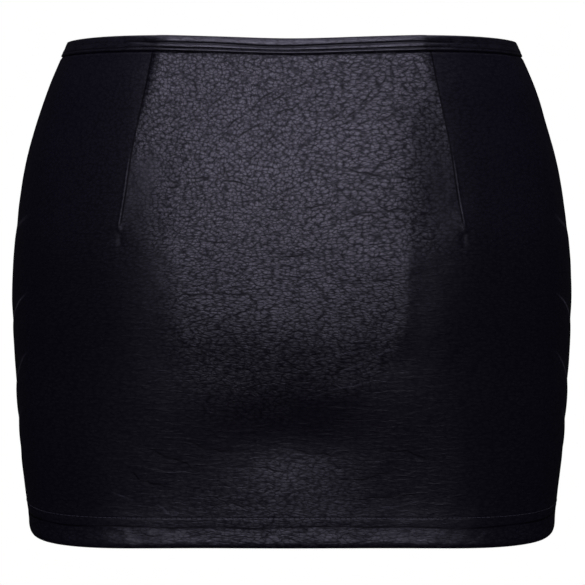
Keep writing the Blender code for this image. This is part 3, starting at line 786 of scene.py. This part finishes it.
def grained_leather():
    """Black leather with pebbled grain: the finish gleams on the pebbles' tops, which are also painted
    lighter as painted highlight; painted shade darkens valleys, wrinkles and creases, and painted highlight
    lightens crease ridges.
    """
    material, tree, shader = new_material("grained_leather")
    place = place_on_pattern(tree)
    across, up = across_and_up(place)
    calm = mark(tree, "calm")
    lively = 1.0 - calm * 0.72
    # Low down and on the left the leather is pulled level, which draws out its pebbles.
    pulled = maths("MAXIMUM", ramp(up, -190.0, -80.0, 1.0, 0.0), ramp(across, -30.0, 70.0) * 0.7)
    drawn_out = made(tree, "ShaderNodeCombineXYZ",
                     inputs={"X": across * (0.88 - pulled * 0.30), "Y": up * (pulled * 0.16 + 1.06)})
    grain = effect(tree, GRAIN, Place=drawn_out, **BODY_GRAIN)
    slanted = effect(tree, NET, Place=place, **SLANTED_NET)["Line"]
    level = effect(tree, NET, Place=place, **LEVEL_NET)["Line"]
    net = maths("MAXIMUM", slanted * (1.0 - pulled), level * (pulled * 0.15 + 0.85)) * 0.85
    line = ramp(maths("ABSOLUTE", mark(tree, "off_line")), 0.2, 0.9, 1.25, 0.0) * mark(tree, "line_strength")
    # The mask of painted shade: valleys and fine wrinkles, fainter where the grain lies calm, and the drawn
    # lines of creases, troughs, hem stitches and seams.
    hollow = maths("MAXIMUM", grain["Valley"] * 0.74, net) * lively
    hollow = maths("MAXIMUM", hollow, maths("MINIMUM", line, 1.0))
    # The mask of painted highlight along ridges, where the line strength is minus; it adds some coat there
    # too.
    ridge_gloss_and_painted_highlight = maths("MAXIMUM", line * -0.8, 0.0)
    cloud = ramp(noise(place, 0.04, 3.0)["Fac"], 0.35, 0.65, 0.94, 1.08)
    # The mask of painted highlight on the pebbles' domes, varied at random by their tone and a soft cloud;
    # the coat follows it too.
    dome = grain["Dome"] * cloud * ramp(grain["Tone"], 0.0, 1.0, 0.9, 1.25)
    dome = (dome * lively + calm * 0.25) * 1.5 + 0.10
    # Painted highlight: the colour is lighter towards the pebbles' tops.
    colour = blended(dome, LEATHER_BLACK, LEATHER_PAINTED_HIGHLIGHT)
    # Painted shade: the colour is darker in valleys, fine wrinkles, creases and troughs, and along seams.
    colour = blended(hollow, colour, LEATHER_PAINTED_SHADE)
    # Painted highlight: the colour is lighter along the ridges of creases and wrinkles.
    colour = blended(maths("MINIMUM", ridge_gloss_and_painted_highlight, 1.0), colour, LEATHER_PAINTED_RIDGE_HIGHLIGHT)
    streaks = noise(stretched(place, (0.09, 0.42, 1.0)), 1.0, 3.0, Roughness=0.65, Distortion=0.5)["Fac"]
    streaks = ramp(streaks, 0.45, 0.75, 0.0, 1.2)
    relief = bump((grain["Height"] - net * 0.9) * lively + streaks * calm, 0.5, 0.00010)
    fill(shader, {
        "Base Color": colour,
        "Roughness": ramp(hollow, 0.0, 1.0, 0.33, 0.45),
        "Specular IOR Level": 0.15,
        "Coat Weight": dome * (1.0 - hollow * 0.92) + ridge_gloss_and_painted_highlight * 0.3,
        "Coat Roughness": 0.32,
        "Normal": relief,
        "Coat Normal": relief,
    })
    return material


def flesh_side():
    """The leather's unfinished inner face: matt, fibrous, dark grey."""
    material, tree, shader = new_material("leather_flesh_side")
    place = place_on_piece(tree)
    fibres = noise(place, 900.0, 5.0, Roughness=0.7)["Fac"]
    cloud = ramp(noise(place, 28.0, 3.0)["Fac"], 0.3, 0.7, 0.6, 1.2)
    fill(shader, {
        "Base Color": blended(fibres * cloud, *FLESH_SIDE_GREYS),
        "Roughness": 0.92,
        "Specular IOR Level": 0.2,
        "Sheen Weight": 0.15,
        "Normal": bump(fibres, 0.6, 0.0003),
    })
    return material


LEATHER_FACE = grained_leather()
LEATHER_BACK = flesh_side()

# A panel is tucked in under the binding down to a level near the binding's lower edge.
TUCK = 1.0
SHOWN_FROM = 9.8
HEM_TOP = LENGTH - HEM_TURN_UP
# How the outer face rolls in at the folded edge: height above the edge, distance.
HEM_ROLL = ((0.0, -0.85), (0.5, -0.52), (1.3, -0.25), (2.4, -0.07), (3.6, 0.0))
INNER_EVERY = 3


def panel_rows():
    """Levels of a panel's outer face: tucked under the binding, then down to the edge."""
    rows = [1.5, 5.5, 9.6, 10.3] + spaced(11.5, HEM_TOP - 0.9, 1.75)
    rows += [HEM_TOP - 0.2, HEM_TOP + 0.2] + spaced(HEM_TOP + 0.8, LENGTH - 3.2, 0.62)
    rows += [LENGTH - up for up in (2.4, 1.6, 1.0, 0.5, 0.2, 0.0)]
    while (len(rows) - 1) % INNER_EVERY:
        rows.insert(5, (rows[4] + rows[5]) / 2)
    return rows


def panel_outs(form, wrinkles, seed):
    """Distance off the body of a panel's outer and inner face, and the outer's MARKS."""
    drop = form["drop"]
    height, marks = body_relief(form, wrinkles, seed)
    shown = ease((drop - SHOWN_FROM) / 0.8)
    above_edge = LENGTH - drop
    outer = height * shown - TUCK * (1 - shown) + np.interp(above_edge, *zip(*HEM_ROLL))
    turned = ease((drop - HEM_TOP + 0.6) / 0.8)
    under = -LEATHER - (LEATHER + 0.1) * turned
    inner = 0.6 * height * shown * (1 - turned) - TUCK * (1 - shown) + under
    inner += 0.9 * bell(above_edge / 0.9)
    return outer, np.minimum(inner, outer - 0.5), marks


def body_form(columns, side, rows, flat_from):
    """A piece's form, with its flat pattern measured from one landmark."""
    form = lay_out(rows, columns, side)
    form["flat"] = form["from"][flat_from]
    return form


FRONT_SEED = 11
rows = panel_rows()
front_columns = landmark_columns((0, 2), 2.0)
front_forms = [body_form(front_columns, -1, rows, 0), body_form(front_columns[1:], 1, rows, 0)]
front_panel = ring_wall("front_panel_leather", front_forms,
                        lambda form: panel_outs(form, FRONT_WRINKLES, FRONT_SEED), INNER_EVERY,
                        (LEATHER_FACE, LEATHER_BACK))
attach(front_panel, "skirt")
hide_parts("front_panel")


def arches_tree():
    """Geometry nodes: small round-section arches, such as stitches, set along a path.

    The path's points carry an outward direction, named out, that the arches stand on.
    """
    tree = bpy.data.node_groups.new("arches_along_a_path", "GeometryNodeTree")
    tree.interface.new_socket("Path", in_out="INPUT", socket_type="NodeSocketGeometry")
    sizes = {"Pitch": 0.0033, "Reach": 0.0026, "Rise": 0.0004, "Thickness": 0.0004, "Turn": 0.0,
             "Jitter": 0.05}
    for label, default in sizes.items():
        socket = tree.interface.new_socket(label, in_out="INPUT", socket_type="NodeSocketFloat")
        socket.default_value = default
    tree.interface.new_socket("Material", in_out="INPUT", socket_type="NodeSocketMaterial")
    tree.interface.new_socket("Arches", in_out="OUTPUT", socket_type="NodeSocketGeometry")
    given = made(tree, "NodeGroupInput", None)

    def vector(**parts):
        return made(tree, "ShaderNodeCombineXYZ", inputs=parts)

    half = given["Reach"] * 0.5
    bow = {"Resolution": 4, "Start": vector(X=half * -1.0), "Middle": vector(Z=given["Rise"] * 2.0),
           "End": vector(X=half)}
    bow = made(tree, "GeometryNodeCurveQuadraticBezier", inputs=bow)
    section = made(tree, "GeometryNodeCurvePrimitiveCircle",
                   inputs={"Resolution": 5, "Radius": given["Thickness"] * 0.5})
    arch = made(tree, "GeometryNodeCurveToMesh",
                inputs={"Curve": bow, "Profile Curve": section, "Fill Caps": True})
    path = made(tree, "GeometryNodeMeshToCurve", inputs={"Mesh": given["Path"]})
    path = made(tree, "GeometryNodeResampleCurve",
                inputs={"Curve": path, "Length": given["Pitch"]}, mode="LENGTH")
    along = made(tree, "GeometryNodeInputTangent")
    outward = made(tree, "GeometryNodeInputNamedAttribute", inputs={"Name": "out"}, data_type="FLOAT_VECTOR")
    laid = made(tree, "FunctionNodeAlignRotationToVector", inputs={"Vector": along}, axis="X")
    laid = made(tree, "FunctionNodeAlignRotationToVector", inputs={"Rotation": laid, "Vector": outward},
                axis="Z", pivot_axis="X")
    wander = made(tree, "FunctionNodeRandomValue", 1, {2: -1.0, 3: 1.0, "Seed": 7}, data_type="FLOAT")
    turn = vector(Z=given["Turn"] + wander * given["Jitter"])
    turn = made(tree, "FunctionNodeEulerToRotation", inputs={0: turn})
    laid = made(tree, "FunctionNodeRotateRotation", inputs={0: laid, 1: turn}, rotation_space="LOCAL")
    row = made(tree, "GeometryNodeInstanceOnPoints",
               inputs={"Points": path, "Instance": arch, "Rotation": laid})
    row = made(tree, "GeometryNodeRealizeInstances", inputs={"Geometry": row})
    row = made(tree, "GeometryNodeSetMaterial", inputs={"Geometry": row, "Material": given["Material"]})
    fill(tree.nodes.new("NodeGroupOutput"), {"Arches": row})
    return tree


ARCHES = arches_tree()


def arches(name, runs, material, **sizes):
    """Set arches along open runs of points, each with its outward directions, in millimetres."""
    edges, first = [], 0
    for run, _ in runs:
        edges += [(first + i, first + i + 1) for i in range(len(run) - 1)]
        first += len(run)
    points, outwards = (np.concatenate(part) for part in zip(*runs))
    path = bpy.data.meshes.new(name)
    path.from_pydata((points * MM).tolist(), edges, [])
    path.attributes.new("out", "FLOAT_VECTOR", "POINT").data.foreach_set("vector", outwards.ravel())
    piece = in_scene(name, path)
    modifier = piece.modifiers.new("arches", "NODES")
    modifier.node_group = ARCHES
    sockets = {item.name: item.identifier for item in ARCHES.interface.items_tree if item.in_out == "INPUT"}
    for label, value in sizes.items():
        modifier[sockets[label]] = value
    modifier[sockets["Material"]] = material
    ready = piece.evaluated_get(bpy.context.evaluated_depsgraph_get())
    mesh = bpy.data.meshes.new_from_object(ready)
    piece.modifiers.remove(modifier)
    piece.data = mesh
    mesh.polygons.foreach_set("use_smooth", np.ones(len(mesh.polygons), dtype=bool))
    return piece


THREAD_BLACKS = ((0.006, 0.006, 0.009, 1), (0.030, 0.029, 0.036, 1))


def sewing_thread():
    """Black polyester thread with a fine twist."""
    material, tree, shader = new_material("black_thread")
    inputs = {"Vector": place_on_piece(tree), "Scale": 900.0, "Distortion": 1.0}
    twist = made(tree, "ShaderNodeTexWave", "Fac", inputs, bands_direction="DIAGONAL")
    fill(shader, {
        "Base Color": blended(twist, *THREAD_BLACKS),
        "Roughness": 0.45,
        "Normal": bump(twist, 0.4, 0.00006),
    })
    return material


THREAD = sewing_thread()
HEM_STITCHES = {"Pitch": 0.0031, "Reach": 0.0024, "Rise": 0.00018, "Thickness": 0.00042}
STITCHES_SINK = 0.06


def hem_run(columns, side, wrinkles, seed):
    """The line of the hem's stitches on a panel's outer face, from its first column on."""
    form = lay_out([LENGTH - HEM_STITCH], columns, side)
    off = panel_outs(form, wrinkles, seed)[0] - STITCHES_SINK
    return (form["points"] + form["outward"] * off[:, :, None])[0], form["outward"][0]


hem_runs = [hem_run(front_columns[:-1], side, FRONT_WRINKLES, FRONT_SEED) for side in (-1, 1)]
front_stitches = arches("front_hem_stitches", hem_runs, THREAD, **HEM_STITCHES)
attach(front_stitches, "skirt")

# Back panels ---------------------------------------------------------------------
# Two pieces of the same leather with a dart each, sewn together down the centre
# back below the zip and held to its tapes above; the hem is turned up as in front.
BACK_WRINKLES = (
    (20, 40, 66, 62, 2.0, 1.2, 0.16),
    (-58, 60, -14, 34, -2.0, 1.2, 0.17),
    (8, 92, 60, 84, 2.5, 1.3, 0.15),
    (-72, 100, -10, 108, -3.0, 1.3, 0.15),
    (22, 124, 78, 132, 3.0, 1.4, 0.15),
    (-60, 142, -6, 134, -2.5, 1.4, 0.14),
    (6, 160, 54, 156, 2.5, 1.5, 0.14),
    (-96, 176, -34, 168, -3.0, 1.5, 0.14),
    (-70, 238, -12, 246, 3.0, 1.3, 0.15),
    (10, 252, 70, 244, -2.5, 1.2, 0.15),
    (30, 274, 92, 266, 3.0, 1.3, 0.14),
    (-90, 268, -40, 276, -3.0, 1.2, 0.14),
)
back_columns = landmark_columns((2, 4), 2.0)
back_pieces = []
hem_runs = []
for name, side, seed in (("back_panel_left", 1, 23), ("back_panel_right", -1, 37)):
    form = body_form(back_columns, side, rows, 4)
    panel = ring_wall(name + "_leather", [form],
                      lambda form: panel_outs(form, BACK_WRINKLES, seed), INNER_EVERY,
                      (LEATHER_FACE, LEATHER_BACK))
    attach(panel, "skirt")
    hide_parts(name)
    back_pieces.append(panel)
    hem_runs.append(hem_run(back_columns[1:], side, BACK_WRINKLES, seed))
back_stitches = arches("back_hem_stitches", hem_runs, THREAD, **HEM_STITCHES)
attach(back_stitches, "skirt")
back_pieces.append(back_stitches)

# Waist binding -------------------------------------------------------------------
# A strip of smoother black leather folded over the waist edge, front and back of it
# sewn through together close to its lower edge; it is cut open at the zip.
BINDING_HEIGHT = 9.4
BINDING_INNER = 3.5
# Outer face from the top down: part of the height, distance off the body. Two creases
# part its three rolls, and the stitches run in the lower one.
BINDING_FACE = np.array((
    (0.00, -0.55), (0.04, 0.15), (0.10, 0.62), (0.20, 0.86), (0.30, 0.84), (0.40, 0.50), (0.47, 0.02),
    (0.53, 0.30), (0.60, 0.72), (0.68, 0.76), (0.76, 0.48), (0.82, -0.02), (0.86, 0.20), (0.91, 0.62),
    (0.96, 0.60), (1.00, 0.25),
))
UPPER_CREASE = 0.47
STITCH_CREASE = 0.82
# The rounding over the top, and the slot below that takes the panels: level, distance.
BINDING_TOP = ((0.00, -2.60), (-0.35, -2.05), (-0.45, -1.40), (-0.30, -0.90))
BINDING_SLOT = ((BINDING_HEIGHT, -0.7), (1.2, -0.7), (1.2, -2.5), (BINDING_HEIGHT, -2.5))
# Towards the sides the strip lies pressed flat.
PRESSED = {"share": 0.85, "from": 84, "over": 24, "off": 0.5}
BINDING_BLACKS = ((0.0028, 0.0026, 0.0046, 1), (0.0060, 0.0056, 0.0078, 1))
BINDING_GRAIN = {"Pebble": 1.9, "Warp": 2.0, "Start": (90.0, 700.0, 0.0)}
BINDING_NET = {"Angle": 0.0, "Spacing": 1.7, "Stretch": 6.0, "Width": 0.16, "Share": 0.6}
EDGE_STITCHES = {"Pitch": 0.0029, "Reach": 0.0023, "Rise": 0.00015, "Thickness": 0.00038}


def binding_leather():
    """Smoother, glossier strip leather with fine lengthwise creasing."""
    material, tree, shader = new_material("binding_leather")
    place = place_on_pattern(tree)
    grain = effect(tree, GRAIN, Place=place, **BINDING_GRAIN)
    net = effect(tree, NET, Place=place, **BINDING_NET)["Line"]
    # Painted shade: the colour darkens in the creases between the rolls and in the fine wrinkles.
    hollow = maths("MAXIMUM", net * 0.6, mark(tree, "creased"))
    streaks = noise(stretched(place, (0.12, 1.5, 1.0)), 1.0, 3.0)["Fac"]
    shine = ramp(streaks, 0.35, 0.70, 0.8, 1.7) * ramp(grain["Dome"], 0.0, 1.0, 0.85, 1.1)
    relief = bump(grain["Height"] * 0.4 - hollow, 0.5, 0.0001)
    fill(shader, {
        "Base Color": blended(hollow, blended(grain["Tone"], *BINDING_BLACKS), LEATHER_PAINTED_SHADE),
        "Roughness": 0.34,
        "Specular IOR Level": 0.25,
        "Coat Weight": shine * (1.0 - hollow * 0.95),
        "Coat Roughness": 0.30,
        "Normal": relief,
        "Coat Normal": relief,
    })
    return material


def binding_section():
    """The folded section: each station's level and distance, and which are on its face."""
    inside = [(BINDING_HEIGHT * (1 - part), -BINDING_INNER) for part in np.linspace(0, 0.95, 9)]
    part = np.linspace(0, 1, 30)
    face = list(zip(BINDING_HEIGHT * part, smooth_through(BINDING_FACE[:, 0], BINDING_FACE[:, 1], part)))
    runs = (inside, BINDING_TOP, face, BINDING_SLOT)
    drops, outs = np.array([station for run in runs for station in run]).T
    return drops, outs, np.repeat((False, False, True, False), [len(run) for run in runs])[:, None]


def binding_half(side, columns):
    """One half's points, their flat pattern, and how deep each lies in a crease."""
    drops, outs, on_face = binding_section()
    form = lay_out(np.maximum(drops, 0.0), columns, side)
    drop, across = form["drop"], side * form["from"][0]
    level = drop / BINDING_HEIGHT
    wobble = 0.10 * np.sin(across / 11) + 0.07 * np.sin(across / 4.3) + 0.06 * uneven(across, drop, 8, 5)
    off = outs[:, None] + np.where(on_face, wobble * bell((drop - 4.5) / 3.2), 0)
    pressed = PRESSED["share"] * ease((np.abs(across) - PRESSED["from"]) / PRESSED["over"])
    pressed = pressed * (on_face & (level > 0.1) & (level < 0.97))
    off += pressed * (PRESSED["off"] - off)
    inward = np.maximum(-form["from"][1], 0)
    off += 0.20 * inward * np.exp(-inward / 8)
    points = form["points"] + form["outward"] * off[:, :, None]
    wander = 0.2 * np.sin(across / 27) + 0.16 * np.sin(across / 9.5) - 0.75 * bell(across / 34)
    points[:, :, 2] += np.where(on_face, wander * bell((drop - 4.4) / 2.0), 0)
    points[:, :, 2] -= np.minimum(drops, 0.0)[:, None]
    along = np.concatenate(([0], np.cumsum(np.hypot(np.diff(drops), np.diff(outs)))))
    flat = np.stack([across, -along[:, None] + np.zeros_like(across)], axis=2)
    # How deep a point lies in a crease: it shapes the bump and the binding's painted shade.
    creased = bell((level - UPPER_CREASE) / 0.035) * (1 - pressed) + bell((level - STITCH_CREASE) / 0.03)
    order = going_round(side)
    return points[:, order], flat[:, order], np.where(on_face, creased, 0)[:, order]


def binding_mesh():
    """Sweep the binding's folded section round the waist, from zip edge to zip edge."""
    columns = landmark_columns((0, 4), 2.0)
    halves = (binding_half(-1, columns), binding_half(1, columns[1:]))
    points, flat, creased = (np.concatenate(part, axis=1) for part in zip(*halves))
    at = np.arange(creased.size).reshape(creased.shape)
    faces = quads(np.vstack([at, at[:1]])).tolist() + [at[:, 0][::-1], at[:, -1]]
    mesh = cloth_mesh("waist_binding_leather", points, faces, flat, {"creased": creased})
    mesh.materials.append(binding_leather())
    work = bmesh.new()
    work.from_mesh(mesh)
    bmesh.ops.recalc_face_normals(work, faces=work.faces)
    bmesh.ops.triangulate(work, faces=[face for face in work.faces if len(face.verts) > 4])
    work.to_mesh(mesh)
    work.free()
    mesh.set_sharp_from_angle(angle=math.radians(60))
    return mesh


waist_binding = in_scene("waist_binding_leather", binding_mesh())
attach(waist_binding, "skirt")
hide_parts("waist_binding")

edge_columns = landmark_columns((0, 4), 3.0)[:-1]
edge_runs = []
for side in (-1, 1):
    form = lay_out([BINDING_HEIGHT * (STITCH_CREASE + 0.01)], edge_columns, side)
    edge_runs.append(((form["points"] + form["outward"] * 0.1)[0], form["outward"][0]))
binding_stitches = arches("binding_edge_stitches", edge_runs, THREAD, **EDGE_STITCHES)
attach(binding_stitches, "skirt")

# Zip -----------------------------------------------------------------------------
# A black concealed zip, sewn inside the back opening: two woven tapes with a coil of
# nylon on each, and a painted metal slider, pull tab and bottom stop.
TAPE = {"width": 11.5, "top": 12.0, "end": 186.0, "outer": -1.5, "inner": -2.1, "wave": 0.12, "weave": 0.7}
COIL = {"from": 22.2, "to": 179.0, "off": -2.45, "apart": 0.9}
COIL_TURNS = {"Pitch": 0.00115, "Reach": 0.0034, "Rise": 0.00055, "Thickness": 0.00062, "Turn": math.pi / 2,
              "Jitter": 0.0}
TAPE_BLACKS = ((0.004, 0.004, 0.005, 1), (0.026, 0.026, 0.029, 1))
NYLON_BLACKS = ((0.008, 0.008, 0.009, 1), (0.022, 0.022, 0.024, 1))
PAINT_BLACKS = ((0.016, 0.016, 0.018, 1), (0.055, 0.055, 0.058, 1))


def zip_fabric():
    """Matt black tape with a fine herringbone weave, which follows the tape's length."""
    material, tree, shader = new_material("zip_tape_weave")
    place = place_on_pattern(tree)
    across, up = across_and_up(place)
    slant = up + maths("PINGPONG", across, 1.6)
    ribs = ramp(maths("SINE", slant * (2 * math.pi / TAPE["weave"])), -1.0, 1.0)
    fill(shader, {
        "Base Color": blended(ribs * noise(place, 4.0, 4.0)["Fac"], *TAPE_BLACKS),
        "Roughness": 0.85,
        "Sheen Weight": 0.2,
        "Normal": bump(ribs, 0.6, 0.00012),
    })
    return material


def coil_nylon():
    """Black nylon of the coil, with a slight gleam."""
    material, tree, shader = new_material("coil_nylon")
    drift = noise(place_on_piece(tree), 300.0, 2.0)["Fac"]
    fill(shader, {
        "Base Color": blended(drift, *NYLON_BLACKS),
        "Roughness": ramp(drift, 0.3, 0.7, 0.28, 0.40),
    })
    return material


def zip_paint():
    """Black paint over metal, a little worn."""
    material, tree, shader = new_material("zip_paint")
    rub = noise(place_on_piece(tree), 700.0, 4.0)["Fac"]
    fill(shader, {
        "Base Color": blended(ramp(rub, 0.45, 0.75), *PAINT_BLACKS),
        "Roughness": ramp(rub, 0.3, 0.7, 0.28, 0.45),
        "Metallic": 0.6,
    })
    return material


ZIP_FABRIC = zip_fabric()
ZIP_PAINT = zip_paint()
COIL_NYLON = coil_nylon()
for name in ("zip_slider", "zip_pull", "zip_bottom_stop"):
    for material_slot in bpy.data.objects[name].material_slots:
        material_slot.material = ZIP_PAINT
    back_pieces.append(bpy.data.objects[name])


def tape_outs(form):
    """Outer and inner face of a tape, a little wavy along its free edge, and no MARKS."""
    loose = ease(-form["from"][4] / TAPE["width"])
    wave = TAPE["wave"] * loose * np.sin(form["drop"] / 7 + form["side"])
    return TAPE["outer"] + np.minimum(wave, 0), TAPE["inner"] + wave, np.zeros(wave.shape + (len(MARKS),))


tape_rows = np.linspace(TAPE["top"], TAPE["end"], 88)
tape_columns = np.array([(4, -TAPE["width"] * part) for part in np.linspace(1, 0, 9)])
for name, side in (("zip_tape_left", 1), ("zip_tape_right", -1)):
    tape = ring_wall(name + "_weave", [body_form(tape_columns, side, tape_rows, 4)], tape_outs, 1,
                     (ZIP_FABRIC, ZIP_FABRIC))
    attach(tape, "skirt")
    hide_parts(name)
    back_pieces.append(tape)

coil_form = lay_out(np.linspace(COIL["from"], COIL["to"], 60), np.array([(4, 0.0)]), 1)
coil_line = (coil_form["points"] + coil_form["outward"] * COIL["off"])[:, 0]
coil_out = coil_form["outward"][:, 0] * (0, -1, -1)
for name, side in (("zip_coil_left", 1), ("zip_coil_right", -1)):
    middle = coil_line.copy()
    middle[:, 0] = side * COIL["apart"]
    middle[:, 2] += side * COIL_TURNS["Pitch"] / 4 / MM
    coil = arches(name, [(middle, coil_out)], COIL_NYLON, **COIL_TURNS)
    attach(coil, "skirt")
    back_pieces.append(coil)

# Floor, light and camera ---------------------------------------------------------
# A white studio: a broad soft light in front and one behind, dim fill from above and
# from the sides, and a pale floor well below, so that the skirt hangs clear of it.
LIGHT_COLOUR = (0.80, 0.755, 1.0)
MIDDLE = (0.0, 0.0, -0.15)


def soft_light(name, place, size, radiance, **settings):
    """A rectangular soft light that faces the skirt, as bright as given over its face."""
    lamp = bpy.data.lights.new(name, "AREA")
    lamp.shape = "RECTANGLE"
    lamp.size, lamp.size_y = size
    lamp.energy = radiance * math.pi * size[0] * size[1]
    lamp.color = LIGHT_COLOUR
    holder = in_scene(name, lamp)
    holder.location = place
    holder.rotation_euler = (Vector(MIDDLE) - Vector(place)).to_track_quat("-Z", "Y").to_euler()
    for setting, value in settings.items():
        setattr(holder, setting, value)
    return holder


soft_light("front_softbox", (-0.045, -1.9, 0.528), (2.14, 1.71), 2.25)
soft_light("overhead_fill", (0.0, -1.0, 2.0), (3.0, 1.2), 1.55)
soft_light("overhead_back_fill", (0.0, 1.0, 2.0), (3.0, 1.2), 0.5)
soft_light("inside_fill", (0.0, 0.0, 2.3), (2.6, 2.6), 5.0, visible_glossy=False)
for side in (-1, 1):
    soft_light("side_fill", (side * 1.9, -0.3, 0.2), (1.6, 1.6), 1.8, visible_glossy=False)
# The light behind falls on the back's pieces alone: the front's sides would gleam.
back_softbox = soft_light("back_softbox", (0.0, 1.9, 0.30), (2.2, 1.9), 2.25)
lit_from_behind = bpy.data.collections.new("lit_from_behind")
for piece in back_pieces:
    lit_from_behind.objects.link(piece)
back_softbox.light_linking.receiver_collection = lit_from_behind

world = bpy.data.worlds.new("studio")
world.use_nodes = True
seen = made(world.node_tree, "ShaderNodeLightPath", "Is Camera Ray")
fill(world.node_tree.nodes["Background"],
     {"Color": (1, 1, 1, 1), "Strength": ramp(seen, 0.0, 1.0, 0.006, 1.0)})
bpy.context.scene.world = world

HALF_FLOOR = 3.0
FLOOR_LEVEL = -0.9
floor_mesh = bpy.data.meshes.new("floor")
floor_corners = [(x * HALF_FLOOR, y * HALF_FLOOR, FLOOR_LEVEL)
                 for x, y in ((-1, -1), (1, -1), (1, 1), (-1, 1))]
floor_mesh.from_pydata(floor_corners, [], [(0, 1, 2, 3)])
floor_material, _, floor_shader = new_material("pale_floor")
fill(floor_shader, {
    "Base Color": (0.42, 0.44, 0.34, 1),
    "Emission Color": (1, 1, 1, 1),
    "Emission Strength": 0.72,
    "Roughness": 0.9,
})
floor_mesh.materials.append(floor_material)
floor = in_scene("floor", floor_mesh)
floor.visible_glossy = False
floor.visible_diffuse = False

camera_data = bpy.data.cameras.new("camera")
camera_data.sensor_width = 36.0
camera_data.lens = 162.4
camera = in_scene("camera", camera_data)
camera.location = (0.00045, -1.7, -0.0826)
camera.rotation_euler = (math.radians(90 - 2.615), 0, 0)
bpy.context.scene.camera = camera
bpy.context.scene.view_settings.view_transform = "Standard"
